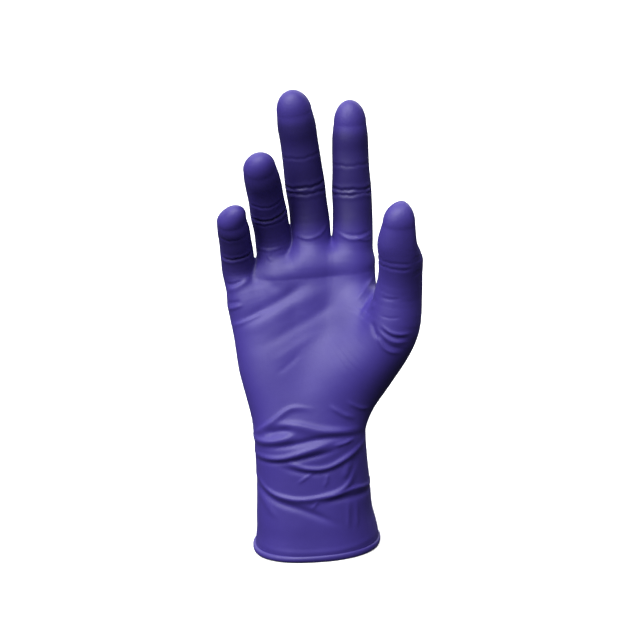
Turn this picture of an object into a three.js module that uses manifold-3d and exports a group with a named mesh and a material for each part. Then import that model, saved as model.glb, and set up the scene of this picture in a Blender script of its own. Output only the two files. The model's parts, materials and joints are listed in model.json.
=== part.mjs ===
// A long-cuff disposable nitrile glove, filled out to the shape of a right hand.
// Millimetres, +Z up from the wrist opening to the fingertips, the palm facing -Y and the thumb towards +X.
// The film is one dipped skin. It is built as hollow stalls that meet where it flexes: each stall ends in
// a hollow ball that turns inside the neighbour below it, so every joint stays open for the hand.
import * as THREE from "three";
import { mergeVertices } from "three/addons/utils/BufferGeometryUtils.js";
import Module from "manifold-3d";

const wasm = await Module();
wasm.setup();

// ---- driving dimensions ----
const WALL = 0.8; // the film's wall, thickened inwards from the real 0.13 mm
const GAP = 0.4; // running clearance between a ball and the neighbour that it turns in
const LIP = 1.4; // depth of the rim that joins a ball to its stall
const BALL_DEPTH = 0.62; // how far a ball reaches below its hinge, as a share of its radius
const SWING_SPARE = 4; // degrees left between two stalls at the end of their travel
const TUBE_SIDES = 16;
const HAND_SIDES = 28;
const BALL_SIDES = 14;
const BALL_ROWS = 8;
const FINGERTIP_TURNS = [0, 28, 52, 72, 86]; // degrees round the dome of a fingertip
const STALL_WAIST = 0.2; // how much a stall narrows half way along
const FINGERTIP_SWELL = 0.3; // how much a fingertip swells half way along
const OVERRUN = 2; // how far a tube runs on past the ball at its end before it is trimmed
const ROOT_OVERRUN = 14;
const SLEEVE_OVERRUN = 5;
const CUTTER_SIZE = 400; // a block larger than the glove

const BEAD_TOP = 3.2; // the rolled edge's height
const BEAD_WIDTH = 3.0;
const BEAD_CORNER = 0.9;
const BEAD_GAP = 0.3; // between the bead and the sleeve above it
const BEAD_HALF_WIDTH = 36.4;
const BEAD_HALF_DEPTH = 29.4;

const HAND_TILT = 17; // degrees that the hand leans back from the forearm
const WRIST = new THREE.Vector3(0.3, 0, 69);
const WRIST_HALF_WIDTH = 31.2;
const WRIST_HALF_DEPTH = 21.5;
const WRIST_TRAVEL = { back: 25, forward: 45 };

// Each digit: hinge is its root joint. roll turns its pad about its own length and splay leans it sideways.
// bends are the stalls' angles from upright towards the pad, half_widths and half_depths are at each hinge,
// then at the fingertip's shoulder. travel is each joint's range in degrees, backwards then forwards.
// root is the hand's stub under the digit: centre x, y and z, half width and half depth.
const DIGITS = [
  {
    name: "index",
    hinge: [33, 34, 181.5],
    splay: 1.9,
    roll: 0,
    bends: [-9, -6, -4],
    lengths: [17.8, 23.2, 28.4],
    half_widths: [10.5, 10.5, 10.1, 9],
    half_depths: [10, 9.5, 9, 7.8],
    travel: [[22, 45], [8, 55], [5, 33]],
    root: [[24, 19, 134, 7, 7], [30.8, 28.5, 160, 11, 12.2]],
  },
  {
    name: "middle",
    hinge: [8.8, 34.9, 183],
    splay: -3.5,
    roll: 0,
    bends: [-2, 4, 8],
    lengths: [20.4, 29, 30.4],
    half_widths: [10.4, 10.8, 10.2, 9.6],
    half_depths: [10.2, 9.8, 9.2, 8.2],
    travel: [[30, 45], [12, 60], [7.2, 36]],
    root: [[6, 19, 134, 7, 7], [8, 29, 160, 10.6, 12.2]],
  },
  {
    name: "ring",
    hinge: [-12.4, 31.5, 173],
    splay: -4.9,
    roll: 0,
    bends: [16, 27, 32],
    lengths: [18.3, 24.5, 26.4],
    half_widths: [9.8, 10.1, 9.9, 9],
    half_depths: [9.7, 9.3, 8.8, 7.7],
    travel: [[43, 35], [9, 60], [5.4, 36]],
    root: [[-12, 19, 130, 7, 7], [-12.3, 26.5, 155, 9.8, 11.4]],
  },
  {
    name: "little",
    hinge: [-33, 27.2, 159.5],
    splay: -3,
    roll: 0,
    bends: [17, 28, 32],
    lengths: [13, 17, 19.4],
    half_widths: [9.1, 9, 8.7, 7.8],
    half_depths: [9, 8.5, 8, 6.8],
    travel: [[42, 33], [10, 50], [6, 30]],
    root: [[-22, 16, 112, 7, 7], [-29.6, 22, 142, 10, 11.2]],
  },
  {
    name: "thumb",
    hinge: [56.2, -2, 151],
    splay: 21,
    roll: -58,
    bends: [17, 19],
    lengths: [20, 36],
    half_widths: [12, 11.6, 8.8],
    half_depths: [12.9, 12.9, 7.8],
    travel: [[15, 45], [12, 65]],
    root: [[18, 4, 92, 8, 8], [37, 1, 108, 14.6, 15.4], [50.4, -2.5, 128, 15.2, 15.2]],
  },
];
const STALL_NAMES = { 3: ["base", "middle", "tip"], 2: ["base", "tip"] };

// Sections of the hand without its digits: height, centre x and y, half width, half depth, and the rise
// across the hand, which grows because the knuckles step down towards the little finger.
const PALM_SECTIONS = [
  [60, 0.3, 0, 31.2, 21.5, 0],
  [69, 0.3, 0, 31.2, 21.5, 0],
  [80, 1, 2.6, 32.8, 21, 0],
  [92, 1, 6, 35, 19.8, 0.02],
  [106, 0.4, 10.4, 37.7, 18.4, 0.06],
  [123, 1.2, 15.6, 39.6, 16.8, 0.1],
  [137, 1, 20.8, 40.6, 15, 0.16],
  [147, 1.4, 24, 39.4, 13.4, 0.26],
  [156, 2.6, 26.8, 35.4, 11, 0.33],
  [161, 3.2, 28.2, 29, 7.6, 0.35],
];
const THENAR = { centre: [31, 0, 106], radii: [19, 16, 30], lean: 32 };
const HYPOTHENAR = { centre: [-19, 8, 104], radii: [17, 17, 34], lean: -4 };

// Level sections of the cuff: height, centre x, half width, half depth.
const CUFF_SECTIONS = [
  [BEAD_TOP + BEAD_GAP, 0.4, 35.4, 28.4],
  [9, 0.3, 34.4, 27.6],
  [19, 0, 33, 26.6],
  [36, 0.3, 31.8, 24.4],
  [54, 0.3, 31.2, 22.4],
  [69, 0.3, 31.2, 21.5],
  [76, 0.3, 31.2, 21.5],
];

const FILM = new THREE.MeshStandardMaterial({ color: 0x43379a, roughness: 0.42, metalness: 0 });
const BEAD_FILM = new THREE.MeshStandardMaterial({ color: 0x3d3292, roughness: 0.38, metalness: 0 });

const radians = THREE.MathUtils.degToRad;
const point = (list) => new THREE.Vector3(...list);

// ---- solids ----

function solidOf(geometry) {
  const bare = geometry.clone();
  bare.deleteAttribute("normal");
  bare.deleteAttribute("uv");
  const merged = mergeVertices(bare, 1e-4);
  const mesh = new wasm.Mesh({
    numProp: 3,
    vertProperties: new Float32Array(merged.attributes.position.array),
    triVerts: new Uint32Array(merged.index.array),
  });
  return new wasm.Manifold(mesh);
}

function geometryOf(solid) {
  const mesh = solid.getMesh();
  const geometry = new THREE.BufferGeometry();
  geometry.setAttribute("position", new THREE.BufferAttribute(new Float32Array(mesh.vertProperties), 3));
  geometry.setIndex(new THREE.BufferAttribute(new Uint32Array(mesh.triVerts), 1));
  geometry.computeVertexNormals();
  return geometry;
}

// A closed tube through rings, made by moving the points of a CylinderGeometry onto them.
// Each ring has a centre, two directions across the tube, and its half width and half depth.
function tube(rings, sides) {
  const barrel = new THREE.CylinderGeometry(1, 1, 1, sides, rings.length - 1);
  const spot = barrel.attributes.position;
  for (let i = 0; i < spot.count; i++) {
    const ring = rings[Math.round((0.5 + spot.getY(i)) * (rings.length - 1))];
    const at = ring.centre.clone();
    at.addScaledVector(ring.across, spot.getX(i) * ring.half_width);
    at.addScaledVector(ring.deep, spot.getZ(i) * ring.half_depth);
    spot.setXYZ(i, at.x, at.y, at.z);
  }
  const made = solidOf(barrel);
  return made.volume() > 0 ? made : solidOf(turnedInsideOut(barrel));
}

function turnedInsideOut(geometry) {
  const order = geometry.index.array;
  for (let i = 0; i < order.length; i += 3) {
    [order[i + 1], order[i + 2]] = [order[i + 2], order[i + 1]];
  }
  return geometry;
}

// A ball stretched along three directions: across the hinge, along the digit and towards the pad.
function ball(centre, frame, along_hinge, round_hinge) {
  const geometry = new THREE.SphereGeometry(1, BALL_SIDES, BALL_ROWS);
  geometry.rotateZ(Math.PI / 2);
  geometry.scale(along_hinge, round_hinge, round_hinge);
  const turn = new THREE.Matrix4().makeBasis(frame.across, frame.pad, frame.along);
  if (turn.determinant() < 0) turn.makeBasis(frame.across, frame.pad.clone().negate(), frame.along);
  return solidOf(geometry.applyMatrix4(turn.setPosition(centre)));
}

// An upright ellipsoid that leans sideways, for the pads at the base of the palm.
function pad({ centre, radii, lean }, inset) {
  const geometry = new THREE.SphereGeometry(1, BALL_SIDES, BALL_ROWS);
  geometry.scale(radii[0] - inset, radii[1] - inset, radii[2] - inset);
  geometry.rotateY(radians(lean));
  geometry.rotateX(radians(HAND_TILT) * -1);
  return solidOf(geometry.translate(...centre));
}

// A large block that fills the side of a plane that normal points to.
function block(on_plane, normal) {
  const geometry = new THREE.BoxGeometry(CUTTER_SIZE, CUTTER_SIZE, CUTTER_SIZE);
  geometry.translate(0, 0, CUTTER_SIZE / 2);
  const turn = new THREE.Quaternion().setFromUnitVectors(new THREE.Vector3(0, 0, 1), normal);
  geometry.applyQuaternion(turn);
  return solidOf(geometry.translate(on_plane.x, on_plane.y, on_plane.z));
}

// ---- the two ends of a joint ----

// Takes away what lies below two planes through a hinge, rising towards the pad and towards the back.
function cutStart(solid, hinge, frame, pad_angle, back_angle, lift = 0) {
  const up = (angle, side) =>
    frame.along.clone().multiplyScalar(-Math.cos(radians(angle)))
      .addScaledVector(frame.pad, side * Math.sin(radians(angle)));
  const from = hinge.clone().addScaledVector(frame.along, lift);
  return solid.subtract(block(from, up(pad_angle, 1))).subtract(block(from, up(back_angle, -1)));
}

// Takes away what lies above two planes through a hinge, falling towards the pad and towards the back.
function cutEnd(solid, hinge, frame, pad_angle, back_angle) {
  const down = (angle, side) =>
    frame.along.clone().multiplyScalar(Math.cos(radians(angle)))
      .addScaledVector(frame.pad, side * Math.sin(radians(angle)));
  return solid.subtract(block(hinge, down(pad_angle, 1))).subtract(block(hinge, down(back_angle, -1)));
}

// Half of the swing that a joint needs on its pad side and on its back side, for a rest bend in degrees.
function swing([back, forward], bend) {
  return {
    pad: (forward + bend + SWING_SPARE) / 2,
    back: Math.max(back - bend + SWING_SPARE, SWING_SPARE) / 2,
  };
}

// Joins a hollow ball to the lower end of a stall. outer and inner are the stall's own solids.
function jointed(outer, inner, hinge, frame, half_width, half_depth, angles) {
  const across = half_width - WALL - GAP;
  const round = half_depth - WALL - GAP;
  const foot = hinge.clone().addScaledVector(frame.along, -BALL_DEPTH * round);
  const whole_ball = ball(hinge, frame, across, round);
  const lower_ball = whole_ball.subtract(block(foot, frame.along.clone().negate()));
  const hollow_ball = ball(hinge, frame, across - WALL, round - WALL);
  const stall = cutStart(outer, hinge, frame, angles.pad, angles.back);
  const hollow = cutStart(inner, hinge, frame, angles.pad, angles.back, LIP);
  return stall.add(lower_ball).subtract(hollow_ball).subtract(hollow);
}

// ---- digits ----

// The directions of a stall: across its hinge, along its length and towards its pad.
function stallFrame(digit, bend) {
  const turn = new THREE.Matrix4().makeRotationY(radians(digit.splay));
  turn.multiply(new THREE.Matrix4().makeRotationZ(radians(digit.roll)));
  const across = new THREE.Vector3(1, 0, 0).transformDirection(turn);
  const angle = radians(bend);
  const along = new THREE.Vector3(0, -Math.sin(angle), Math.cos(angle)).transformDirection(turn);
  return { across, along, pad: across.clone().cross(along) };
}

function ringAt(centre, frame, half_width, half_depth, inset) {
  return {
    centre,
    across: frame.across,
    deep: frame.pad,
    half_width: half_width - inset,
    half_depth: half_depth - inset,
  };
}

// A straight stall from one hinge to the next, run past both ends so that the joints can trim it.
function stallTube(digit, k, hinge, frame, inset) {
  const length = digit.lengths[k];
  const [w0, w1] = digit.half_widths.slice(k, k + 2);
  const [d0, d1] = digit.half_depths.slice(k, k + 2);
  const past = Math.max(w0, w1) + OVERRUN;
  const spots = [
    [-past, w0, d0],
    [0, w0, d0],
    [length / 2, (w0 + w1) / 2 - STALL_WAIST, (d0 + d1) / 2 - STALL_WAIST],
    [length, w1, d1],
    [length + past, w1, d1],
  ];
  const rings = spots.map(([reach, half_width, half_depth]) =>
    ringAt(hinge.clone().addScaledVector(frame.along, reach), frame, half_width, half_depth, inset));
  return tube(rings, TUBE_SIDES);
}

// The last stall, closed by a rounded fingertip.
function tipTube(digit, k, hinge, frame, inset) {
  const [w0, w1] = digit.half_widths.slice(k, k + 2);
  const [d0, d1] = digit.half_depths.slice(k, k + 2);
  const shoulder = digit.lengths[k] - w1;
  const at = (reach) => hinge.clone().addScaledVector(frame.along, reach);
  const mid_width = (w0 + w1) / 2 + FINGERTIP_SWELL;
  const mid_depth = (d0 + d1) / 2 + FINGERTIP_SWELL;
  const rings = [
    ringAt(at(-w0), frame, w0, d0, inset),
    ringAt(at(0), frame, w0, d0, inset),
    ringAt(at(shoulder / 2), frame, mid_width, mid_depth, inset),
  ];
  for (const turn of FINGERTIP_TURNS) {
    const narrow = Math.cos(radians(turn));
    const reach = shoulder + (w1 - inset) * Math.sin(radians(turn));
    const ring = ringAt(at(reach), frame, w1, d1, inset);
    ring.half_width *= narrow;
    ring.half_depth *= narrow;
    rings.push(ring);
  }
  return tube(rings, TUBE_SIDES);
}

// The hand's stub under a digit, from inside the palm up to the digit's hinge and past it.
function rootTube(digit, inset) {
  const hinge = point(digit.hinge);
  const top = stallFrame(digit, rootBend(digit));
  const spots = digit.root.map(([x, y, z, w, d]) => ({ at: new THREE.Vector3(x, y, z), w, d }));
  spots.push({ at: hinge, w: digit.half_widths[0], d: digit.half_depths[0] });
  const rings = spots.map(({ at, w, d }, i) => {
    const from = spots[Math.max(i - 1, 0)].at;
    const to = spots[Math.min(i + 1, spots.length - 1)].at;
    const along = i === spots.length - 1 ? top.along : to.clone().sub(from).normalize();
    const across = top.across.clone().addScaledVector(along, -top.across.dot(along)).normalize();
    return ringAt(at, { across, along, pad: across.clone().cross(along) }, w, d, inset);
  });
  const past = hinge.clone().addScaledVector(top.along, ROOT_OVERRUN);
  rings.push(ringAt(past, top, digit.half_widths[0], digit.half_depths[0], inset));
  return tube(rings, TUBE_SIDES);
}

// The angle of the hand's stub at a digit's root: the fingers' stubs lean back with the hand.
function rootBend(digit) {
  return digit.roll ? digit.bends[0] : -HAND_TILT;
}

function rootSwing(digit) {
  return swing(digit.travel[0], digit.bends[0] - rootBend(digit));
}

function buildDigit(digit) {
  const names = STALL_NAMES[digit.lengths.length];
  const last = digit.lengths.length - 1;
  let hinge = point(digit.hinge);
  const stalls = [];
  for (let k = 0; k <= last; k++) {
    const frame = stallFrame(digit, digit.bends[k]);
    const make = k === last ? tipTube : stallTube;
    let outer = make(digit, k, hinge, frame, 0);
    const inner = make(digit, k, hinge, frame, WALL);
    const next = hinge.clone().addScaledVector(frame.along, digit.lengths[k]);
    if (k < last) {
      const turn = swing(digit.travel[k + 1], digit.bends[k + 1] - digit.bends[k]);
      outer = cutEnd(outer, next, frame, turn.pad, turn.back);
    }
    const start = swing(digit.travel[k], digit.bends[k] - (k ? digit.bends[k - 1] : rootBend(digit)));
    const sizes = [digit.half_widths[k], digit.half_depths[k]];
    stalls.push([`${digit.name}_${names[k]}_stall`, jointed(outer, inner, hinge, frame, ...sizes, start)]);
    hinge = next;
  }
  return stalls;
}

// ---- hand and cuff ----

const UPRIGHT = {
  across: new THREE.Vector3(1, 0, 0),
  along: new THREE.Vector3(0, 0, 1),
  pad: new THREE.Vector3(0, -1, 0),
};

// A tube through sections of the hand or the cuff. The inner one stops short of the top by the wall.
function handTube(sections, inset) {
  const rings = sections.map(([z, x, y, half_width, half_depth, rise], i) => {
    const frame = { ...UPRIGHT, across: new THREE.Vector3(1, 0, rise) };
    const height = i === sections.length - 1 ? z - inset : z;
    return ringAt(new THREE.Vector3(x, y, height), frame, half_width, half_depth, inset);
  });
  return tube(rings, HAND_SIDES);
}

function handSolid(inset) {
  let whole = handTube(PALM_SECTIONS, inset);
  whole = whole.add(pad(THENAR, inset)).add(pad(HYPOTHENAR, inset));
  for (const digit of DIGITS) {
    const turn = rootSwing(digit);
    const frame = stallFrame(digit, rootBend(digit));
    const end = point(digit.hinge).addScaledVector(frame.along, inset);
    whole = whole.add(cutEnd(rootTube(digit, inset), end, frame, turn.pad, turn.back));
  }
  return whole;
}

function buildHand() {
  const turn = swing([WRIST_TRAVEL.back, WRIST_TRAVEL.forward], 0);
  return jointed(handSolid(0), handSolid(WALL), WRIST, UPRIGHT, WRIST_HALF_WIDTH, WRIST_HALF_DEPTH, turn);
}

function buildSleeve() {
  const sections = CUFF_SECTIONS.map(([z, x, width, depth]) => [z, x, 0, width, depth, 0]);
  const [lowest, ...others] = sections;
  const hollow = [[lowest[0] - SLEEVE_OVERRUN, ...lowest.slice(1)], ...others];
  const turn = swing([WRIST_TRAVEL.back, WRIST_TRAVEL.forward], 0);
  const outer = cutEnd(handTube(sections, 0), WRIST, UPRIGHT, turn.pad, turn.back);
  return outer.subtract(handTube(hollow, WALL));
}

// The rolled edge: a ring with a flat foot and a round outside.
function buildBead() {
  const outline = [
    [BEAD_CORNER - BEAD_WIDTH, 0],
    [-BEAD_CORNER, 0],
    [0, BEAD_CORNER],
    [0, BEAD_TOP - BEAD_CORNER],
    [-BEAD_CORNER, BEAD_TOP],
    [BEAD_CORNER - BEAD_WIDTH, BEAD_TOP],
    [-BEAD_WIDTH, BEAD_TOP - BEAD_CORNER],
    [-BEAD_WIDTH, BEAD_CORNER],
  ];
  outline.push(outline[0]);
  const profile = outline.map(([x, y]) => new THREE.Vector2(BEAD_HALF_WIDTH + x, y));
  const ring = new THREE.LatheGeometry(profile, HAND_SIDES);
  ring.rotateX(Math.PI / 2);
  const spot = ring.attributes.position;
  for (let i = 0; i < spot.count; i++) {
    const radius = Math.hypot(spot.getX(i), spot.getY(i));
    const narrow = (BEAD_HALF_DEPTH + radius - BEAD_HALF_WIDTH) / radius;
    spot.setY(i, spot.getY(i) * narrow);
  }
  return solidOf(ring);
}

// ---- the glove ----

const glove = new THREE.Group();

function place(name, solid, material) {
  const mesh = new THREE.Mesh(geometryOf(solid), material);
  mesh.name = name;
  glove.add(mesh);
}

place("cuff_bead", buildBead(), BEAD_FILM);
place("cuff_sleeve", buildSleeve(), FILM);
place("palm_shell", buildHand(), FILM);
for (const digit of DIGITS) {
  for (const [name, stall] of buildDigit(digit)) {
    place(name, stall, FILM);
  }
}

export default glove;
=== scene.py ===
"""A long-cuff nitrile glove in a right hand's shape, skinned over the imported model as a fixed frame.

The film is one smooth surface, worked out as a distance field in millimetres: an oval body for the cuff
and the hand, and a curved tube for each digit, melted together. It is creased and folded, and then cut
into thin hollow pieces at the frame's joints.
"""

import json
import math

import bmesh
import bpy
import numpy as np
import openvdb
from mathutils import Matrix, Vector


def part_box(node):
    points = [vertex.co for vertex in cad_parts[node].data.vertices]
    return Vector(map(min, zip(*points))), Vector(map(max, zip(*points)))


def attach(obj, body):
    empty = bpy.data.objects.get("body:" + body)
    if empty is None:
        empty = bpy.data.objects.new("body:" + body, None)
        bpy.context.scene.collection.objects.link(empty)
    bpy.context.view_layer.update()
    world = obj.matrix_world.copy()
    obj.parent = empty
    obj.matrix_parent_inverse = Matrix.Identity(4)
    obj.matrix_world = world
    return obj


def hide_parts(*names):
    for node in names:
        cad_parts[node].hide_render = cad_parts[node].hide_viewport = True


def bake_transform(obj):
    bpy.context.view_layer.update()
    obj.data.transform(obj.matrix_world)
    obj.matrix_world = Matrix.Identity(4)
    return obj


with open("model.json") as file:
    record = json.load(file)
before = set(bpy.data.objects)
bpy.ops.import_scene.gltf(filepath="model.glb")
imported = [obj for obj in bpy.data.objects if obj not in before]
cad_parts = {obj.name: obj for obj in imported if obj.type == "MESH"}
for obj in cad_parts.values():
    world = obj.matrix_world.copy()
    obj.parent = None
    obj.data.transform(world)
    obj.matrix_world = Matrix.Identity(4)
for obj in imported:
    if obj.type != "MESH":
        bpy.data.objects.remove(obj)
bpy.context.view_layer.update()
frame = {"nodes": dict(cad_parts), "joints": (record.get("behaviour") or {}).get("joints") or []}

MM = 0.001
VOXEL = 0.75
COARSE = 4  # voxels to one step of the first, rough look at the field
BAND = 6.0  # the field is worked out finely only this near the surface
FILM = 0.5
FULLNESS = 0.45  # the film lies this far outside the shapes below

JOINTS = {joint["name"]: joint for joint in frame["joints"]}


def hinge(name):
    return np.array(JOINTS[name]["pos_m"]) / MM


def hinge_axis(name):
    return np.array(JOINTS[name]["axis"], float)


def unit(vector):
    return vector / np.linalg.norm(vector)


# ---------------------------------------------------------------- smooth joining and curves


def smooth_min(a, b, k):
    """The smaller of two distances, rounded where they are within 1.5 k, with no jump in curvature."""
    near = np.maximum(1 - np.abs(a - b) / (1.5 * k), 0)
    return np.minimum(a, b) - near**3 * k / 4


def ease(low, high, x):
    t = np.clip((x - low) / (high - low), 0, 1)
    return t * t * (3 - 2 * t)


def bump(x, width):
    return np.exp(-((x / width) ** 2))


def through(at, stations, values):
    """A smooth curve through the values at the stations, read at the places in at."""
    x = np.asarray(stations, float)
    y = np.asarray(values, float)
    slope = np.gradient(y, x)
    i = np.clip(np.searchsorted(x, at) - 1, 0, len(x) - 2)
    step = x[i + 1] - x[i]
    t = np.clip((at - x[i]) / step, 0, 1)
    start = (2 * t**3 - 3 * t**2 + 1) * y[i] + (t**3 - 2 * t**2 + t) * step * slope[i]
    end = (3 * t**2 - 2 * t**3) * y[i + 1] + (t**3 - t**2) * step * slope[i + 1]
    return start + end


# ---------------------------------------------------------------- the digits


ROOT_DOME = 16.0  # the tube's buried end is this long, so that it melts into the palm unseen


class Digit:
    """A curved tube from inside the palm to a fingertip.

    Its shape is given at stations: each point of the root, then at each hinge and half way to the next,
    and at the shoulder where the fingertip's dome starts.
    """

    SAMPLES = 26

    def __init__(self, name, joints, tip_node, root, half_widths, pad_depths, back_depths, dome, lean=0):
        self.name = name
        self.joints = joints
        self.dome = dome
        self.lean = lean
        self.axis = hinge_axis(joints[0])
        hinges = [hinge(joint) for joint in joints]
        tip = self.farthest(tip_node, hinges[-1])
        shoulder = tip - unit(tip - hinges[-1]) * dome
        keys = [np.array(p, float) for p in root] + hinges + [shoulder]
        gaps = [np.linalg.norm(b - a) for a, b in zip(keys, keys[1:])]
        key_reach = np.concatenate([[0], np.cumsum(gaps)])
        self.length = key_reach[-1]
        self.reach = np.linspace(0, self.length, self.SAMPLES)
        self.line = np.stack([through(self.reach, key_reach, [k[i] for k in keys]) for i in range(3)], 1)
        tangent = np.gradient(self.line, axis=0)
        tangent /= np.linalg.norm(tangent, axis=1)[:, None]
        pad = np.cross(self.axis, tangent)
        self.pad = pad / np.linalg.norm(pad, axis=1)[:, None]
        self.along = tangent
        self.across = np.cross(tangent, self.pad)
        self.hinge_reach = list(key_reach[len(root):len(root) + len(hinges)])
        bounds = self.hinge_reach + [self.length]
        middles = [(a + b) / 2 for a, b in zip(bounds, bounds[1:])]
        self.stations = list(key_reach[:len(root)])
        for at_hinge, at_middle in zip(self.hinge_reach, middles):
            self.stations += [at_hinge, at_middle]
        self.stations.append(self.length)
        self.half_widths = half_widths
        self.pad_depths = pad_depths
        self.back_depths = back_depths
        spare = 24 + max(half_widths)
        self.low = np.minimum(self.line.min(0), tip) - spare
        self.high = np.maximum(self.line.max(0), tip) + spare

    @staticmethod
    def farthest(node, origin):
        """The point of a CAD node that is farthest from origin, in millimetres."""
        corners = np.array([v.co for v in frame["nodes"][node].data.vertices]) / MM
        return corners[np.argmax(np.linalg.norm(corners - origin, axis=1))]

    def place(self, points):
        """Each point's reach along the digit, its place across and towards the pad, and past the end."""
        nearest = np.full(len(points), np.inf)
        reach = np.zeros(len(points))
        for i in range(self.SAMPLES - 1):
            step = self.line[i + 1] - self.line[i]
            size = step @ step
            t = np.clip(((points - self.line[i]) @ step) / size, 0, 1)
            away = points - self.line[i] - t[:, None] * step
            distance = np.einsum("ij,ij->i", away, away)
            closer = distance < nearest
            nearest[closer] = distance[closer]
            reach[closer] = self.reach[i] + t[closer] * (self.reach[i + 1] - self.reach[i])
        away = points - self.at(self.line, reach)
        across = np.einsum("ij,ij->i", away, self.at(self.across, reach))
        pad = np.einsum("ij,ij->i", away, self.at(self.pad, reach))
        past = np.einsum("ij,ij->i", away, self.at(self.along, reach))
        return reach, across, pad, past

    def at(self, rows, reach):
        return np.stack([np.interp(reach, self.reach, rows[:, i]) for i in range(3)], 1)

    def field(self, points):
        reach, across, pad, past = self.place(points)
        width = through(reach, self.stations, self.half_widths)
        depth = np.where(
            pad > 0,
            through(reach, self.stations, self.pad_depths),
            through(reach, self.stations, self.back_depths),
        )
        dome = np.where(past > 0, self.dome, ROOT_DOME)
        across = across - self.lean * ease(0, self.dome, past)
        q = np.sqrt((across / width) ** 2 + (pad / depth) ** 2 + (past / dome) ** 2)
        q = np.maximum(q, 0.05)
        size = np.sqrt(across**2 + pad**2 + past**2)
        return size * (1 - 1 / q), reach

    def inside(self, points):
        """Which points are near enough for this digit to matter."""
        return np.all((points > self.low) & (points < self.high), axis=1)


FINGER_JOINTS = ["knuckle", "middle_joint", "tip_joint"]
THUMB_JOINTS = ["base_joint", "tip_joint"]


def finger(name, root, half_widths, pad_depths, back_depths, dome, lean=0):
    joints = [f"{name}_{joint}" for joint in FINGER_JOINTS]
    return Digit(name, joints, f"{name}_tip_stall", root, half_widths, pad_depths, back_depths, dome, lean)


DIGITS = [
    finger(
        "index",
        root=[[24, 19, 134], [30.8, 29, 160]],
        half_widths=[8, 11, 10.9, 10.8, 10.8, 10.1, 9.9, 9.7, 8.8],
        pad_depths=[7, 11, 10.6, 9.8, 9.2, 9.4, 8.6, 8.9, 7.6],
        back_depths=[7, 11, 10.2, 9.4, 9.8, 8.8, 9, 7.9, 7.2],
        dome=13,
    ),
    finger(
        "middle",
        root=[[6, 19, 134], [8, 29.5, 160]],
        half_widths=[8, 10.6, 10.8, 10.6, 10.9, 10.5, 10.3, 10.4, 9.5],
        pad_depths=[7, 11, 10.8, 10, 9.4, 9.6, 8.8, 9.2, 8],
        back_depths=[7, 11, 10.4, 9.8, 10.1, 9, 9.2, 8.2, 7.5],
        dome=12.5,
    ),
    finger(
        "ring",
        root=[[-12, 19, 130], [-12.3, 27, 155]],
        half_widths=[8, 9.8, 10, 9.8, 10.1, 9.7, 9.8, 9.6, 8.9],
        pad_depths=[7, 10.4, 10, 9.4, 9, 9.2, 8.4, 8.7, 7.6],
        back_depths=[7, 10.4, 9.8, 9.4, 9.7, 8.7, 8.8, 7.7, 7.2],
        dome=11,
        lean=1,
    ),
    finger(
        "little",
        root=[[-22, 16, 112], [-29.6, 22.4, 142]],
        half_widths=[8, 9.3, 9.4, 9.1, 9, 8.7, 8.7, 8.4, 8],
        pad_depths=[7, 10.4, 9.4, 8.8, 8.3, 8.3, 7.6, 7.8, 6.8],
        back_depths=[7, 10.4, 9.2, 8.8, 8.8, 8, 8, 7, 6.4],
        dome=10.5,
        lean=2.8,
    ),
    Digit(
        "thumb",
        [f"thumb_{joint}" for joint in THUMB_JOINTS],
        "thumb_tip_stall",
        root=[[18, 4, 92], [37, 1, 108], [50.4, -2.5, 128]],
        half_widths=[9, 14.8, 15.2, 12.2, 11.6, 11.8, 11, 9],
        pad_depths=[9, 14.6, 15, 13.4, 12.2, 12.6, 14.2, 11.6],
        back_depths=[9, 14, 15, 12.9, 12.2, 12, 6.9, 5.6],
        dome=12,
    ),
]
FINGERS = DIGITS[:4]
THUMB = DIGITS[4]

# ---------------------------------------------------------------- the hand and the cuff

# Level sections: height, middle x and y, half width to the little finger's side and to the thumb's,
# and half depth to the palm's side and to the back's.
BODY = np.array([
    [-12, 0.2, 0, 34.5, 34.9, 28, 27.6],
    [3.6, 0.2, 0, 34.5, 34.9, 28, 27.6],
    [8, 0.3, 0, 34, 34.4, 27.6, 27.2],
    [13, 0.3, 0, 33.3, 33.6, 27, 26.8],
    [20, 0, 0, 32.6, 32.6, 26.4, 26.4],
    [36, 0.3, 0, 31.7, 31.8, 24.4, 24.4],
    [54, 0.3, 0, 31.2, 31.2, 22.4, 22.2],
    [69, 0.3, 0, 31.1, 31.6, 21.4, 20.8],
    [80, 1, 2.6, 31.9, 34.6, 20.8, 20.2],
    [92, 1, 6, 33, 39.4, 19.4, 18.6],
    [106, 0.6, 10.4, 35.4, 39.4, 17.4, 17.4],
    [123, 1, 15.6, 37.4, 37.6, 15.4, 15.8],
    [137, 1, 20.8, 38.2, 40, 14.2, 14.4],
    [147, 1.4, 24, 38, 39.8, 13, 13],
    [156, 2.2, 26.6, 35.6, 38, 11.8, 12],
])
BODY_TOP = 158.0
BODY_DOME = 11.0
SQUARENESS = 2.35


def body_field(points):
    x, y, z = points.T
    height = np.minimum(z, BODY_TOP)
    middle_x, middle_y, left, right, front, back = [
        through(height, BODY[:, 0], BODY[:, i]) for i in range(1, 7)
    ]
    dx = x - middle_x
    dy = y - middle_y
    top = BODY_TOP - 0.3 * np.maximum(-dx, 0)
    past = np.maximum(z - top, 0)
    width = np.where(dx < 0, left, right)
    depth = np.where(dy < 0, front, back)
    q = (np.abs(dx / width) ** SQUARENESS + np.abs(dy / depth) ** SQUARENESS) ** (1 / SQUARENESS)
    q = np.maximum(np.sqrt(q**2 + (past / BODY_DOME) ** 2), 0.05)
    return np.sqrt(dx**2 + dy**2 + past**2) * (1 - 1 / q)


PAD_TILT = math.radians(-17)  # the palm leans back by this much


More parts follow.
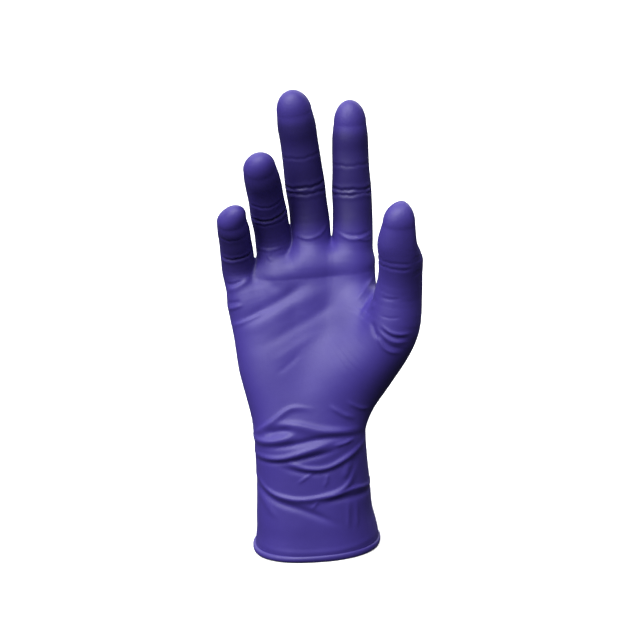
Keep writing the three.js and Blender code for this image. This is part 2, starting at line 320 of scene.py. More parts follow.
class Pad:
    """An ellipsoid for a fleshy pad or a web. It leans by lean degrees, and melts into the hand."""

    def __init__(self, centre, radii, melt, lean=0.0):
        self.centre = np.array(centre, float)
        self.radii = np.array(radii, float)
        self.melt = melt
        turn = Matrix.Rotation(PAD_TILT, 3, "X") @ Matrix.Rotation(math.radians(lean), 3, "Y")
        self.turn = np.array(turn)

    def field(self, points):
        local = (points - self.centre) @ self.turn
        q = np.maximum(np.sqrt(((local / self.radii) ** 2).sum(1)), 0.05)
        return np.sqrt((local**2).sum(1)) * (1 - 1 / q)


THENAR = Pad([27, 2.5, 106], [19, 14.5, 31], melt=12, lean=34)
HYPOTHENAR = Pad([-18, 9, 104], [15, 13.6, 34], melt=10, lean=-4)
THUMB_WEB = Pad([34, 10, 133], [14, 9, 15], melt=12, lean=24)
FINGER_WEBS = [
    Pad([20.7, 29.2, 159], [7, 7.5, 8], melt=4),
    Pad([-2.6, 29.3, 160], [7, 7.5, 8], melt=4),
    Pad([-23.2, 27.4, 154.5], [7, 7, 8], melt=4),
]

# How widely a digit melts into the hand at its root and at its first hinge, and how far below that
# hinge the change between the two starts and ends.
THUMB_MELT = (12, 3, 24, 0)
FINGER_MELT = (11, 1.4, 20, 1)
CROTCH_MELT = (0.01, 1.61)  # between two fingers: where only one of them lifts the palm, and where both do


def melt_width(digit, reach, widths):
    at_root, at_hinge, start, end = widths
    first = digit.hinge_reach[0]
    return at_root + (at_hinge - at_root) * ease(first - start, first - end, reach)


def field(points):
    """Distance to the film's outside, negative inside."""
    hand = body_field(points)
    for pad in [THENAR, HYPOTHENAR, THUMB_WEB] + FINGER_WEBS:
        hand = smooth_min(hand, pad.field(points), pad.melt)
    near_thumb = THUMB.inside(points)
    if near_thumb.any():
        thumb, reach = THUMB.field(points[near_thumb])
        hand[near_thumb] = smooth_min(hand[near_thumb], thumb, melt_width(THUMB, reach, THUMB_MELT))
    whole = hand.copy()
    for digit in FINGERS:
        near = digit.inside(points)
        if not near.any():
            continue
        distance, reach = digit.field(points[near])
        joined = smooth_min(hand[near], distance, melt_width(digit, reach, FINGER_MELT))
        both_lift = ease(0, 1.5, hand[near] - np.maximum(joined, whole[near]))
        crotch = CROTCH_MELT[0] + (CROTCH_MELT[1] - CROTCH_MELT[0]) * both_lift
        whole[near] = smooth_min(whole[near], joined, crotch)
    return whole - FULLNESS


TETRAHEDRON = np.array([[1, -1, -1], [-1, -1, 1], [-1, 1, -1], [1, 1, 1]], float)
SPACE_LOW = np.array([-52.0, -36.0, -9.0])  # corners of a box with room for the whole glove
SPACE_HIGH = np.array([76.0, 68.0, 262.0])


def gradient(points, step=0.2):
    return sum(side * field(points + side * step)[:, None] for side in TETRAHEDRON) / (4 * step)


def pulled_to_surface(points, rounds=3):
    for _ in range(rounds):
        slope = gradient(points)
        size = np.maximum((slope**2).sum(1), 0.2)
        points = points - slope * (field(points) / size)[:, None]
    return points


def film_surface():
    """The film's outside as points and quads, before any wrinkle."""
    block = VOXEL * COARSE
    counts = np.ceil((SPACE_HIGH - SPACE_LOW) / block).astype(int)
    axes = [SPACE_LOW[i] + (np.arange(counts[i]) + 0.5) * block for i in range(3)]
    rough = np.stack(np.meshgrid(*axes, indexing="ij"), -1)
    values = field(rough.reshape(-1, 3)).reshape(counts)
    for axis in range(3):
        values = np.repeat(values, COARSE, axis)
    index = np.argwhere(np.abs(values) < BAND)
    spots = SPACE_LOW + (index + 0.5) * VOXEL
    values[tuple(index.T)] = field(spots)
    grid = openvdb.FloatGrid(background=BAND)
    grid.copyFromArray(values.astype(np.float32))
    points, quads = grid.convertToQuads(isovalue=0)
    points = SPACE_LOW + (points + 0.5) * VOXEL
    return pulled_to_surface(points), quads


# ---------------------------------------------------------------- wrinkles


class Fold:
    """A ridge or groove along a line on the palm's side, given by x and z. A groove has a minus height.

    steep makes one flank sharper, as film does where it doubles over.
    """

    def __init__(self, line, height, width, steep=0.0):
        keys = np.array(line, float)
        gaps = np.linalg.norm(np.diff(keys, axis=0), axis=1)
        reach = np.concatenate([[0], np.cumsum(gaps)])
        self.length = reach[-1]
        self.reach = np.linspace(0, self.length, 6 * len(keys))
        self.line = np.stack([through(self.reach, reach, keys[:, i]) for i in range(2)], 1)
        self.height = height
        self.width = width
        self.steep = steep

    def lift(self, x, z):
        spots = np.stack([x, z], 1)
        away = np.full(len(x), np.inf)
        side = np.zeros(len(x))
        reach = np.zeros(len(x))
        for i in range(len(self.line) - 1):
            step = self.line[i + 1] - self.line[i]
            t = np.clip((spots - self.line[i]) @ step / (step @ step), 0, 1)
            gap = spots - self.line[i] - t[:, None] * step
            distance = np.hypot(gap[:, 0], gap[:, 1])
            closer = distance < away
            away[closer] = distance[closer]
            cross = step[0] * gap[:, 1] - step[1] * gap[:, 0]
            side[closer] = np.sign(cross[closer])
            reach[closer] = self.reach[i] + t[closer] * (self.reach[i + 1] - self.reach[i])
        end = np.minimum(reach, self.length - reach) / (0.38 * self.length)
        taper = ease(0, 1, end + 0.12)
        width = self.width * (1 - self.steep * side * 0.5)
        return self.height * taper * bump(away, width)


# The wrist's bunched film and the cuff's sweeping folds.
WRIST_FOLDS = [
    Fold([(-33, 71), (-20, 82), (-9, 89), (4, 88)], 0.9, 1.5, 0.4),
    Fold([(-22, 80), (-8, 80), (8, 76), (30, 73)], 1.5, 2.6, 0.5),
    Fold([(-26, 74), (-16, 77), (-8, 77.5)], -1.2, 1.9),
    Fold([(-34, 69), (-20, 71), (-6, 75)], 1.5, 2.3, 0.4),
    Fold([(-33, 66), (-12, 69), (10, 72), (33, 69)], -1.2, 1.9),
    Fold([(-34, 61), (-20, 61), (0, 66), (14, 69)], 1.4, 2, 0.5),
    Fold([(13, 67), (19, 67.4), (26, 69)], 0.7, 0.9),
    Fold([(-34, 57), (-16, 59), (2, 62), (18, 65)], -1, 1.5),
    Fold([(-16, 61), (-4, 55.5), (8, 54.5), (20, 59), (34, 66)], 1.4, 1.8, 0.5),
    Fold([(-20, 57), (-8, 53.5), (3, 52), (22, 56)], -0.8, 1.7),
    Fold([(2, 53), (-4, 49.5), (-9, 46)], 0.5, 0.8),
    Fold([(-33, 50), (-26, 42), (-14, 38), (6, 38.5), (18, 42), (27, 55)], 1.3, 1.6, 0.6),
    Fold([(-34, 46), (-24, 37), (-8, 31.5), (4, 26), (14, 20)], -1, 2),
    Fold([(2, 36.5), (14, 38.5), (24, 40), (36, 36)], 0.9, 1.3, 0.5),
    Fold([(4, 34.5), (16, 35.5), (36, 34)], -0.8, 1.7),
    Fold([(18, 46), (20, 52), (22, 57)], 0.7, 2.2),
    Fold([(9, 52), (8, 47), (6, 43)], 0.4, 1),
    Fold([(3, 36), (0, 33), (-2, 31)], 0.4, 0.8),
    Fold([(19.5, 34), (19, 26), (18.5, 17)], 0.35, 1.3),
    Fold([(24, 33), (23.8, 25), (23.5, 16)], 0.35, 1.2),
    Fold([(-31, 40), (-27, 33), (-21, 25)], 0.4, 2),
    Fold([(12, 90), (20, 84), (27, 80)], 0.7, 1.4),
    Fold([(22, 92), (30, 86), (36, 84)], 0.5, 1.2),
    Fold([(-38, 8), (-20, 6.4), (0, 6), (20, 6.6), (38, 9)], 0.3, 1.6),
]

# Broad slanting bands over the palm, and the short pulls at its edges.
PALM_FOLDS = [
    Fold([(-40, 127), (-18, 136), (8, 147), (26, 152)], 0.8, 4.6),
    Fold([(-40, 132), (-22, 140), (-4, 149), (8, 156)], -0.9, 3),
    Fold([(-30, 119), (-8, 129), (16, 140), (30, 146)], -0.45, 3),
    Fold([(-20, 113), (-6, 120), (10, 128)], 0.25, 2.4),
    Fold([(-17, 107), (-9, 112), (-1, 118)], -0.22, 1.6),
    Fold([(-41, 130), (-30, 135.5), (-17, 141)], 0.6, 1.1, 0.4),
    Fold([(-42, 139), (-38, 141), (-32, 144)], 0.55, 0.9),
    Fold([(-42, 142.5), (-38, 144), (-33, 146)], -0.4, 0.9),
    Fold([(-43, 148), (-36, 152), (-26, 158)], 0.6, 1.5, 0.4),
    Fold([(-43, 153), (-36, 154.5), (-30, 157)], -0.5, 1),
    Fold([(43, 152), (38, 149), (31, 143)], 0.5, 1),
    Fold([(43.5, 149), (39, 145.5), (33, 139)], -0.4, 1),
    Fold([(43, 146), (38, 141.5), (33, 136)], 0.45, 0.9),
    Fold([(22, 179), (31, 175), (44, 175.5)], 0.5, 0.9, 0.4),
    Fold([(33, 177), (38, 173.5), (44, 172.5)], 0.4, 0.7),
    Fold([(26, 178.5), (34, 176.8), (44, 177.5)], -0.35, 0.8),
    Fold([(20, 184), (15, 178.6), (8, 176.5), (-2, 178.5)], 0.45, 0.9, 0.3),
    Fold([(-7, 173.5), (-14, 171.5), (-23, 172)], 0.4, 0.9),
    Fold([(-14, 172), (-16, 168), (-13, 165)], 0.3, 0.8),
    Fold([(-30, 158), (-20, 156), (-8, 150)], -0.6, 3.4),
]

# Film pulled tight round the root of the thumb.
THUMB_FOLDS = [
    Fold([(44, 136), (50, 131.5), (62, 129)], 0.7, 1, 0.5),
    Fold([(43.5, 134), (50, 129), (60, 126.5)], -0.7, 1.1),
    Fold([(43, 133), (49, 127), (59, 124)], 0.6, 1, 0.5),
    Fold([(43, 130), (48, 124), (57, 120)], -0.5, 1.1),
    Fold([(42, 130), (46, 122), (55, 117.5)], 0.6, 1, 0.4),
    Fold([(40, 137), (40.5, 132), (43, 127)], -0.7, 1.4),
    Fold([(43, 141), (50, 139.5), (57, 139.5)], -0.25, 0.7),
    Fold([(45, 151), (51, 150), (58, 150.5)], -0.3, 0.7),
]


# No fold of a group reaches the film above these heights.
WRIST_FOLDS_TOP = 100
PALM_FOLDS_TOP = 190
THUMB_FOLDS_TOP = 158


class Crease:
    """A crease pressed in across a digit's pad side, near a hinge. offset is its reach past the hinge."""

    def __init__(self, joint, offset, depth, width=0.8, tilt=0.0):
        self.joint = joint
        self.offset = offset
        self.depth = depth
        self.width = width
        self.tilt = tilt


CREASES = {
    "index": [
        Crease(1, 1.5, 0.75, 0.8, -0.02),
        Crease(1, -1.2, 0.6, 0.7, 0.03),
        Crease(2, -7.5, 0.25, 0.7),
    ],
    "middle": [
        Crease(1, 2.4, 0.8, 0.8, 0.02),
        Crease(1, -1.4, 0.55, 0.8, -0.05),
        Crease(1, 0.2, 0.3, 0.5, 0.05),
        Crease(2, -8, 0.25, 0.7),
    ],
    "ring": [
        Crease(1, 4.8, 1.05, 0.9, 0.12),
        Crease(1, 0.8, 0.3, 0.8),
        Crease(2, -8.5, 0.35, 0.7),
    ],
    "little": [
        Crease(1, 1.3, 0.9, 0.9, 0.1),
        Crease(2, 0.5, 0.3, 0.7),
    ],
    "thumb": [
        Crease(1, -1, 0.3, 0.8, 0.05),
        Crease(1, 3, 0.22, 0.8),
    ],
}
KNUCKLE_RINGS = [-3.2, -1.1, 1.1, 3.2]  # past each hinge, on the back
KNUCKLE_RING_DEPTH = 0.32


def creased(digit, points):
    """How far the joints' creases lift the film round one digit."""
    reach, across, pad, _ = digit.place(points)
    front = ease(-0.5, 5, pad)
    back = ease(-1, 5, -pad)
    lift = np.zeros(len(points))
    for crease in CREASES[digit.name]:
        slow_wave = 0.25 * np.sin(across * 0.55 + crease.offset)
        quick_wave = 0.15 * np.sin(across * 1.3 + crease.depth * 9)
        middle = digit.hinge_reach[crease.joint] + crease.offset
        away = reach - middle - crease.tilt * across - slow_wave - quick_wave
        lift -= crease.depth * bump(away, crease.width) * front
        lift += 0.35 * crease.depth * (bump(away - 1.9, 1.3) + bump(away + 1.9, 1.3)) * front
    for spot in digit.hinge_reach[1:]:
        for number, offset in enumerate(KNUCKLE_RINGS):
            bow = 0.02 * across**2 * np.sign(offset)
            away = reach - spot - offset - bow + 0.4 * np.sin(across + number)
            lift -= KNUCKLE_RING_DEPTH * bump(away, 0.7) * back
    return lift


BACK_RINGS = [58, 63.5, 68, 72.5, 78]  # heights
BACK_PULLS = [(-22, 0.12), (-4, -0.06), (14, 0.1), (27, -0.1)]  # where each crosses the cuff, and its lean


def bunched_back(points, normals):
    """Shallow rings over the back and the sides of the wrist, and upright pulls on the cuff below them."""
    x, _, z = points.T
    back = ease(-0.1, 0.5, normals[:, 1])
    lift = np.zeros(len(points))
    for number, height in enumerate(BACK_RINGS):
        wander = 2.2 * np.sin(x * 0.09 + number * 1.7) + 0.9 * np.sin(x * 0.23 + number * 2.9)
        away = z - height - wander
        strength = 0.7 + 0.3 * np.sin(x * 0.13 + number * 2.1)
        lift += strength * (bump(away, 1.7) - 0.8 * bump(away - 3, 1.5))
    for x_at, lean in BACK_PULLS:
        away = x - x_at - lean * (z - 30)
        lift += 0.4 * bump(away, 1.8) * ease(12, 22, z) * (1 - ease(44, 54, z))
    return lift * back


def wrinkled(points, normals):
    """The film's points moved along their normals by every fold, crease and ring."""
    x, _, z = points.T
    lift = bunched_back(points, normals)
    front = ease(-0.25, 0.35, -normals[:, 1])
    sides = ease(-0.75, 0.1, -normals[:, 1])
    for folds, strength, top in (
        (WRIST_FOLDS, sides, WRIST_FOLDS_TOP),
        (PALM_FOLDS, front, PALM_FOLDS_TOP),
        (THUMB_FOLDS, front, THUMB_FOLDS_TOP),
    ):
        near = np.flatnonzero((z < top) & (strength > 0))
        for fold in folds:
            lift[near] += fold.lift(x[near], z[near]) * strength[near]
    for digit in DIGITS:
        near = np.flatnonzero(digit.inside(points))
        distance, reach = digit.field(points[near])
        own = near[(distance < 1.5) & (reach > digit.hinge_reach[0] - 8)]
        lift[own] += creased(digit, points[own])
    return points + normals * lift[:, None]


def vertex_normals(points, quads):
    corner = points[quads]
    flat = np.cross(corner[:, 2] - corner[:, 0], corner[:, 3] - corner[:, 1])
    normals = np.zeros_like(points)
    for k in range(4):
        np.add.at(normals, quads[:, k], flat)
    return normals / np.maximum(np.linalg.norm(normals, axis=1), 1e-9)[:, None]


# ---------------------------------------------------------------- cutting the film into pieces


class Seam:
    """A plane across a digit, where one piece of film ends and the next starts."""

    def __init__(self, at, normal):
        self.at = Vector(at)
        self.normal = Vector(normal).normalized()

    def side(self, point):
        return (point - self.at).dot(self.normal)


def digit_seams(digit, lifts):
    """A seam below the root hinge, then one half way along each stall but the last.

    lifts are the first seam's heights past the hinge, on the minus side and the plus side of its axis.
    """
    spots = digit.hinge_reach
    root = digit.at(digit.line, np.array([spots[0]]))[0]
    along = digit.at(digit.along, np.array([spots[0]]))[0]
    across = digit.axis
    rise = (lifts[1] - lifts[0]) / (2 * digit.half_widths[len(digit.stations) - 2 * len(spots) - 1])
    seams = [Seam(root + along * sum(lifts) / 2, along - across * rise)]
    for start, end in zip(spots, spots[1:]):
        middle = np.array([(start + end) / 2])
        seams.append(Seam(digit.at(digit.line, middle)[0], digit.at(digit.along, middle)[0]))
    return seams


# The ring and little fingers are bent forward, and their root seams climb towards the middle finger.
ROOT_LIFTS = {
    "index": (-8, -8),
    "middle": (-8, -8),
    "ring": (-7, 2.2),
    "little": (-6, 4),
    "thumb": (-9, -9),
}
WRIST_SEAM = Seam((0, 0, 91), (0, 0, 1))
RIM_SEAM = Seam((0, 0, 1.8), (0, 0, 1))  # hidden inside the rolled rim
SEAM_REACH = 4.0  # a seam cuts only the faces this near to its plane
OWN_REACH = 3.0  # a face belongs to a digit only if it is this near to its tube
PALM, CUFF = 0, 1


def near_seam(faces, seam):
    return [f for f in faces if abs(seam.side(f.calc_center_median())) < SEAM_REACH]


def bisected(bm, faces, seam):
    edges = {edge for face in faces for edge in face.edges}
    verts = {vert for face in faces for vert in face.verts}
    geometry = list(verts) + list(edges) + list(faces)
    bmesh.ops.bisect_plane(bm, geom=geometry, dist=1e-4, plane_co=seam.at, plane_no=seam.normal)


def marked_skin(points, quads):
    """A bmesh of the whole film in millimetres, cut along the seams, with each face's piece number.

    Returns the bmesh and the pieces in order: PALM, CUFF, then (digit, k) for each digit's k-th piece.
    """
    mesh = bpy.data.meshes.new("film")
    mesh.from_pydata(points.tolist(), [], quads.tolist())
    bm = bmesh.new()
    bm.from_mesh(mesh)
    bpy.data.meshes.remove(mesh)
    owner = bm.faces.layers.int.new("owner")
    piece = bm.faces.layers.int.new("piece")
    centres = points[quads].mean(1)
    nearest = np.full(len(centres), OWN_REACH)
    owners = np.full(len(centres), -1)
    for number, digit in enumerate(DIGITS):
        near = np.flatnonzero(digit.inside(centres))
        distance, _ = digit.field(centres[near])
        closer = distance < nearest[near]
        nearest[near[closer]] = distance[closer]
        owners[near[closer]] = number
    bm.faces.ensure_lookup_table()
    for face, number in zip(bm.faces, owners.tolist()):
        face[owner] = number
    bisected(bm, near_seam(bm.faces, RIM_SEAM), RIM_SEAM)
    bisected(bm, near_seam(bm.faces, WRIST_SEAM), WRIST_SEAM)
    pieces = [PALM, CUFF]
    for number, digit in enumerate(DIGITS):
        seams = digit_seams(digit, ROOT_LIFTS[digit.name])
        for seam in seams:
            own = [f for f in bm.faces if f[owner] == number]
            bisected(bm, near_seam(own, seam), seam)
        first = len(pieces)
        pieces += [(digit, k) for k in range(len(seams))]
        for face in bm.faces:
            if face[owner] != number:
                continue
            centre = face.calc_center_median()
            if seams[0].side(centre) < 0:
                continue
            face[piece] = first + sum(seam.side(centre) > 0 for seam in seams[1:])
    for face in bm.faces:
        if face[piece] == PALM and WRIST_SEAM.side(face.calc_center_median()) < 0:
            face[piece] = CUFF
    below = [f for f in bm.faces if RIM_SEAM.side(f.calc_center_median()) < 0]
    bmesh.ops.delete(bm, geom=below, context="FACES")
    bm.normal_update()
    return bm, pieces


SLEEVE = [(1.2, 0.9), (5, 1.3), (9, 2.4)]  # how far down and how far in each step of a tucked sleeve goes


def tuck_sleeve(bm, seam, digit):
    """Runs a root piece's open edge on down inside the palm, so that no gap opens as the digit swings."""
    edges = [e for e in bm.edges if e.is_boundary and all(abs(seam.side(v.co)) < 0.05 for v in e.verts)]
    root = Vector(digit.at(digit.line, np.array([digit.hinge_reach[0]]))[0])
    along = Vector(digit.at(digit.along, np.array([digit.hinge_reach[0]]))[0])
    down_before, in_before = 0, 0
    for down, inward in SLEEVE:
        grown = bmesh.ops.extrude_edge_only(bm, edges=edges)["geom"]
        edges = [g for g in grown if isinstance(g, bmesh.types.BMEdge)]
        for vert in [g for g in grown if isinstance(g, bmesh.types.BMVert)]:
            away = vert.co - root
            away -= along * away.dot(along)
            vert.co -= away.normalized() * (inward - in_before) + along * (down - down_before)
        edges = [e for e in edges if e.is_boundary]
        down_before, in_before = down, inward
    bm.normal_update()


def close_shell(bm, normal_layer, thickness):
    """Gives an open skin its inside and its edges, so that it is one closed body of thin film."""
    outside = list(bm.faces)
    rim = [e for e in bm.edges if e.is_boundary]
    rim = [(e, e.link_loops[0].vert) for e in rim]
    twin = {}
    for vert in list(bm.verts):
        inner = bm.verts.new(vert.co - vert.normal * thickness)
        inner[normal_layer] = -vert[normal_layer]
        twin[vert] = inner
    for face in outside:
        bm.faces.new([twin[v] for v in reversed(face.verts)])
    for edge, first in rim:
        second = edge.other_vert(first)
        bm.faces.new([second, first, twin[first], twin[second]])


def keep_rest_place(mesh):
    """Stores where each point is at rest, so that the film's texture stays put as the piece bends."""
    flat = np.zeros(len(mesh.vertices) * 3, np.float32)
    mesh.vertices.foreach_get("co", flat)
    rest = mesh.attributes.new("rest_place", "FLOAT_VECTOR", "POINT")
    rest.data.foreach_set("vector", flat)
    return flat.reshape(-1, 3)


def add_values(mesh, name, values):
    layer = mesh.attributes.new(name, "FLOAT", "POINT")
    layer.data.foreach_set("value", np.asarray(values, np.float32))


TIGHT = 0.6  # how tight and how light the film is on the cuff, the palm and the fingertips
SLACK_SHADE = {"index": 0.48, "middle": 0.55, "ring": 0.36, "little": 0.32, "thumb": 0.1}  # less on each digit, partly as looser film and partly as painted shade where the light leaves it dark, most on the middle finger


def film_state(points):
    """How textured each point's film is, fully so on the fingertips, and how tight and light its tone is.

    The film is tight over the cuff, the palm and the fingertips, and darker along the digits: partly its
    own deeper colour where it lies loose, partly painted shade where the light leaves the digits dark,
    most on the middle finger.
    """
    grip = np.zeros(len(points))
    stretch_and_shade = np.full(len(points), TIGHT)
    for digit in DIGITS:
        near = np.flatnonzero(digit.inside(points))
        if not len(near):
            continue
        distance, reach = digit.field(points[near])
        own = near[distance < 2]
        reach = reach[distance < 2]
        root, last = digit.hinge_reach[0], digit.hinge_reach[-1]
        grip[own] = np.maximum(grip[own], ease(last - 2, last + 10, reach))
        # The digit's darker tone is partly looser film and partly painted shade, fading out at the root
        # and the fingertip.
        slack_shade = ease(root - 9, root + 5, reach) * (1 - ease(digit.length - 7, digit.length, reach))
        stretch_and_shade[own] = np.minimum(stretch_and_shade[own], TIGHT - SLACK_SHADE[digit.name] * slack_shade)
    return grip, stretch_and_shade


def piece_mesh(skin, number, name, sleeve=None):
    bm = skin.copy()
    layer = bm.faces.layers.int["piece"]
    other = [f for f in bm.faces if f[layer] != number]
    bmesh.ops.delete(bm, geom=other, context="FACES")
    if sleeve:
        tuck_sleeve(bm, *sleeve)
    normal_layer = bm.verts.layers.float_vector["film_normal"]
    close_shell(bm, normal_layer, FILM)
    bm.normal_update()
    mesh = bpy.data.meshes.new(name)
    bm.to_mesh(mesh)
    bm.free()
    mesh.transform(Matrix.Scale(MM, 4))
    spots = keep_rest_place(mesh)
    grip, stretch_and_shade = film_state(spots / MM)
    add_values(mesh, "grip", grip)
    add_values(mesh, "stretch_and_shade", stretch_and_shade)
    mesh.shade_smooth()
    kept = np.zeros(len(mesh.vertices) * 3, np.float32)
    mesh.attributes["film_normal"].data.foreach_get("vector", kept)
    mesh.normals_split_custom_set_from_vertices(kept.reshape(-1, 3).tolist())
    piece = bpy.data.objects.new(name, mesh)
    bpy.context.scene.collection.objects.link(piece)
    return piece


# ---------------------------------------------------------------- materials


def material_nodes(name):
    material = bpy.data.materials.new(name)
    material.use_nodes = True
    nodes = material.node_tree.nodes
    return material, nodes, material.node_tree.links, nodes["Principled BSDF"]


def add_noise(nodes, links, place, scale, detail=3.0):
    noise = nodes.new("ShaderNodeTexNoise")
    noise.inputs["Scale"].default_value = scale
    noise.inputs["Detail"].default_value = detail
    links.new(place.outputs["Vector"], noise.inputs["Vector"])
    return noise.outputs["Fac"]


def add_ramp(nodes, links, value, low, high, low_colour, high_colour):
    ramp = nodes.new("ShaderNodeValToRGB")
    ramp.color_ramp.elements[0].position = low
    ramp.color_ramp.elements[0].color = (*low_colour, 1)
    ramp.color_ramp.elements[1].position = high
    ramp.color_ramp.elements[1].color = (*high_colour, 1)
    links.new(value, ramp.inputs["Fac"])
    return ramp.outputs["Color"]


def add_bump(nodes, links, height, distance, strength, normal=None):
    relief = nodes.new("ShaderNodeBump")
    relief.inputs["Distance"].default_value = distance
    relief.inputs["Strength"].default_value = strength
    links.new(height, relief.inputs["Height"])
    if normal:
        links.new(normal, relief.inputs["Normal"])
    return relief.outputs["Normal"]


def add_grip(nodes, links, place, normal):
    """The close pimples that roughen the fingertips for grip."""
    mask = nodes.new("ShaderNodeAttribute")
    mask.attribute_name = "grip"
    pimples = nodes.new("ShaderNodeTexVoronoi")
    pimples.inputs["Scale"].default_value = 1500
    links.new(place.outputs["Vector"], pimples.inputs["Vector"])
    height = nodes.new("ShaderNodeMath")
    height.operation = "MULTIPLY"
    links.new(mask.outputs["Fac"], height.inputs[0])
    links.new(pimples.outputs["Distance"], height.inputs[1])
    return add_bump(nodes, links, height.outputs["Value"], 0.00016, 0.5, normal)


def nitrile(name, deep_and_shade, thin, grip=True):
    """Satin film: lighter where tight, darker on the digits, partly as painted shade, with a fine skin of
    its own.
    """
    material, nodes, links, shader = material_nodes(name)
    place = nodes.new("ShaderNodeAttribute")
    place.attribute_name = "rest_place"
    stretch_and_shade = nodes.new("ShaderNodeAttribute")
    stretch_and_shade.attribute_name = "stretch_and_shade"
    # The tone is the stretch attribute plus a broad random blotch; its darker end is partly painted shade
    # on the digits.
    tone = nodes.new("ShaderNodeMath")
    tone.operation = "MULTIPLY_ADD"
    links.new(add_noise(nodes, links, place, 34, 4), tone.inputs[0])
    tone.inputs[1].default_value = 0.3
    links.new(stretch_and_shade.outputs["Fac"], tone.inputs[2])
    colour = add_ramp(nodes, links, tone.outputs["Value"], 0.15, 0.85, deep_and_shade, thin)
    links.new(colour, shader.inputs["Base Color"])
    streak = add_noise(nodes, links, place, 120, 3)
    spread = nodes.new("ShaderNodeMapRange")
    spread.inputs["To Min"].default_value = 0.46
    spread.inputs["To Max"].default_value = 0.58
    links.new(streak, spread.inputs["Value"])
    links.new(spread.outputs["Result"], shader.inputs["Roughness"])
    shader.inputs["Specular IOR Level"].default_value = 0.5
    normal = add_bump(nodes, links, add_noise(nodes, links, place, 150, 4), 0.0003, 0.35)
    normal = add_bump(nodes, links, add_noise(nodes, links, place, 1100, 3), 0.00006, 0.5, normal)
    if grip:
        normal = add_grip(nodes, links, place, normal)
    links.new(normal, shader.inputs["Normal"])
    return material


def paper(name, colour, roughness, glow):
    material, _, _, shader = material_nodes(name)
    shader.inputs["Base Color"].default_value = (*colour, 1)
    shader.inputs["Roughness"].default_value = roughness
    shader.inputs["Emission Color"].default_value = (1, 1, 1, 1)
    shader.inputs["Emission Strength"].default_value = glow
    return material


# ---------------------------------------------------------------- camera, lights and floor

VIEW_ELEVATION = math.radians(20)
VIEW_ROLL = math.radians(4)
VIEW_WIDTH = 0.3648
VIEW_DISTANCE = 4.0
VIEW_CENTRE = (0.0017, 0.1277)  # right and up of the cuff's opening, as the picture sees it


def add_camera():
    back = Vector((0, -math.cos(VIEW_ELEVATION), math.sin(VIEW_ELEVATION)))
    steep = Vector((0, math.sin(VIEW_ELEVATION), math.cos(VIEW_ELEVATION)))
    up = Vector((1, 0, 0)) * math.sin(VIEW_ROLL) + steep * math.cos(VIEW_ROLL)
    right = up.cross(back)
    camera = bpy.data.cameras.new("camera")
    camera.sensor_width = 36
    camera.clip_end = 2 * FLOOR_RADIUS
    camera.lens = camera.sensor_width * VIEW_DISTANCE / VIEW_WIDTH
    holder = bpy.data.objects.new("camera", camera)
    bpy.context.scene.collection.objects.link(holder)
    aim = right * VIEW_CENTRE[0] + up * VIEW_CENTRE[1]
    turn = Matrix((right, up, back)).transposed().to_4x4()
    holder.matrix_world = Matrix.Translation(aim + back * VIEW_DISTANCE) @ turn
    bpy.context.scene.camera = holder


def add_sun(name, turn, height, strength, softness):
    """Even light from far away. turn is right of straight in front, and height above level, in degrees."""
    light = bpy.data.lights.new(name, "SUN")
    light.energy = strength
    light.angle = math.radians(softness)
    holder = bpy.data.objects.new(name, light)
    level = math.cos(math.radians(height))
    side = math.radians(turn)
    place = Vector((math.sin(side) * level, -math.cos(side) * level, math.sin(math.radians(height))))
    holder.rotation_euler = place.to_track_quat("Z", "Y").to_euler()
    bpy.context.scene.collection.objects.link(holder)


FLOOR_RADIUS = 9.0
WALL_HEIGHT = 2.0  # the wall stands at the floor's edge, so that a low view meets white and no sky


def stage_piece(name, material):
    """Names the object made last, and keeps it out of the light that reaches the glove."""
    piece = bpy.context.object
    piece.name = name
    piece.data.materials.append(material)
    piece.visible_diffuse = False
    piece.visible_glossy = False
    return piece


def add_studio():
    bpy.ops.mesh.primitive_circle_add(vertices=96, radius=FLOOR_RADIUS, fill_type="NGON")
    stage_piece("floor", paper("floor_paper", (0.86, 0.86, 0.87), 0.8, 0.4))
    bpy.ops.mesh.primitive_cylinder_add(
        vertices=96,
        radius=FLOOR_RADIUS,
        depth=WALL_HEIGHT,
        end_fill_type="NOTHING",
        location=(0, 0, WALL_HEIGHT / 2),
    )
    wall = stage_piece("wall", paper("wall_paper", (0.86, 0.86, 0.87), 0.8, 1))
    wall.visible_shadow = False
    world = bpy.data.worlds.new("studio")
    world.use_nodes = True
    background = world.node_tree.nodes["Background"]
    background.inputs["Color"].default_value = (0.9, 0.92, 1, 1)
    background.inputs["Strength"].default_value = 0.06
    bpy.context.scene.world = world
    bpy.context.scene.view_settings.view_transform = "Standard"
    add_sun("side_key", -50, 42, 2.5, 50)
    add_sun("high_key", -8, 62, 2.9, 46)
    add_sun("right_back", 150, 34, 1.7, 60)
    add_sun("left_back", -142, 40, 1.5, 60)


# ---------------------------------------------------------------- the whole glove


ROLL_HEIGHT = 1.35  # the rolled rim is this much taller than it is wide


def signed_power(x, power):
    return math.copysign(abs(x) ** power, x)


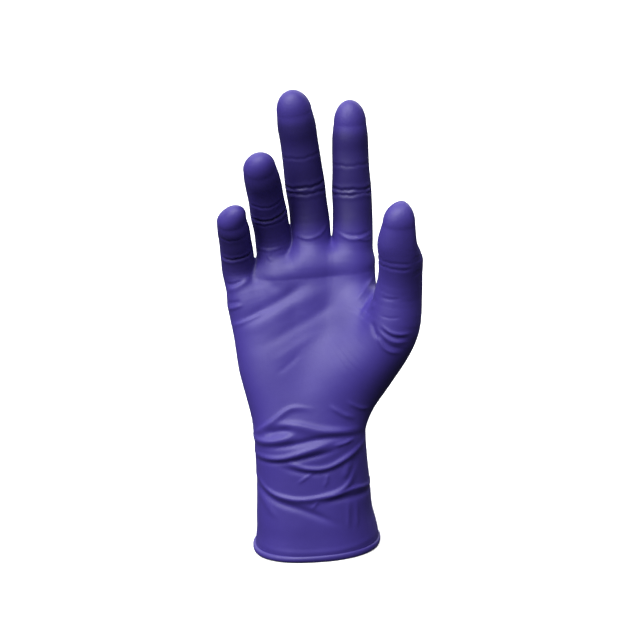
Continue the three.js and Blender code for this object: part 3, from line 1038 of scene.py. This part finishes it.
def build_bead(material):
    low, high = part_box("cuff_bead")
    radius = (high.z - low.z) / 2
    half_width = (high.x - low.x) / 2 - radius
    half_depth = (high.y - low.y) / 2 - radius
    up = Vector((0, 0, ROLL_HEIGHT))
    lean = 2 - 2 / SQUARENESS
    round_steps, roll_steps = 260, 20
    bm = bmesh.new()
    rings = []
    for i in range(round_steps):
        turn = 2 * math.pi * i / round_steps
        across, along = math.cos(turn), math.sin(turn)
        out = Vector((signed_power(across, lean) / half_width, signed_power(along, lean) / half_depth, 0))
        out.normalize()
        centre = Vector((
            half_width * signed_power(across, 2 / SQUARENESS),
            half_depth * signed_power(along, 2 / SQUARENESS),
            radius * ROLL_HEIGHT,
        ))
        ring = []
        for k in range(roll_steps):
            angle = 2 * math.pi * k / roll_steps
            size = radius * (0.96 + 0.04 * math.sin(3 * angle + 2 * math.sin(2 * turn)))
            ring.append(bm.verts.new(centre + (out * math.cos(angle) + up * math.sin(angle)) * size))
        rings.append(ring)
    for i in range(round_steps):
        ring, after = rings[i], rings[(i + 1) % round_steps]
        for k in range(roll_steps):
            j = (k + 1) % roll_steps
            bm.faces.new([ring[k], after[k], after[j], ring[j]])
    mesh = bpy.data.meshes.new("rolled_rim")
    bm.to_mesh(mesh)
    bm.free()
    keep_rest_place(mesh)
    add_values(mesh, "stretch_and_shade", [TIGHT] * len(mesh.vertices))
    mesh.shade_smooth()
    bead = bpy.data.objects.new("rolled_rim", mesh)
    bpy.context.scene.collection.objects.link(bead)
    bead.data.materials.append(material)
    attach(bead, "cuff")
    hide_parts("cuff_bead")


# The names of a digit's pieces, for digits with three joints and with two.
PIECE_NAMES = {3: ["root", "middle", "end"], 2: ["root", "end"]}


def blend_at(piece):
    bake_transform(piece)


def build_film(material):
    points, quads = film_surface()
    points = wrinkled(points, vertex_normals(points, quads))
    skin, pieces = marked_skin(points, quads)
    layer = skin.verts.layers.float_vector.new("film_normal")
    for vert in skin.verts:
        vert[layer] = vert.normal
    palm = piece_mesh(skin, PALM, "palm_film")
    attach(palm, "palm")
    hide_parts("palm_shell")
    cuff = piece_mesh(skin, CUFF, "cuff_film")
    blend_at(cuff)
    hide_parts("cuff_sleeve")
    made = [palm, cuff]
    for number, entry in enumerate(pieces):
        if number in (PALM, CUFF):
            continue
        digit, k = entry
        name = f"{digit.name}_{PIECE_NAMES[len(digit.joints)][k]}_film"
        sleeve = (digit_seams(digit, ROOT_LIFTS[digit.name])[0], digit) if k == 0 else None
        piece = piece_mesh(skin, number, name, sleeve)
        spot = np.array([digit.hinge_reach[k]])
        centre = digit.at(digit.line, spot)[0]
        along = digit.at(digit.along, spot)[0]
        blend_at(piece)
        child = JOINTS[digit.joints[k]]["child"]
        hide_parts(child + "_stall")
        made.append(piece)
    skin.free()
    for piece in made:
        piece.data.materials.append(material)


# Darker end: the loose film's own deeper tone and painted shade on the digits; on the rim, random
# blotches.
DEEP_AND_SHADE_VIOLET = (0.018, 0.011, 0.105)
THIN_VIOLET = (0.052, 0.034, 0.268)
ROLLED_VIOLET = (0.048, 0.031, 0.245)

add_camera()
add_studio()
build_bead(nitrile("rolled_bead", DEEP_AND_SHADE_VIOLET, ROLLED_VIOLET, grip=False))
build_film(nitrile("nitrile_film", DEEP_AND_SHADE_VIOLET, THIN_VIOLET))
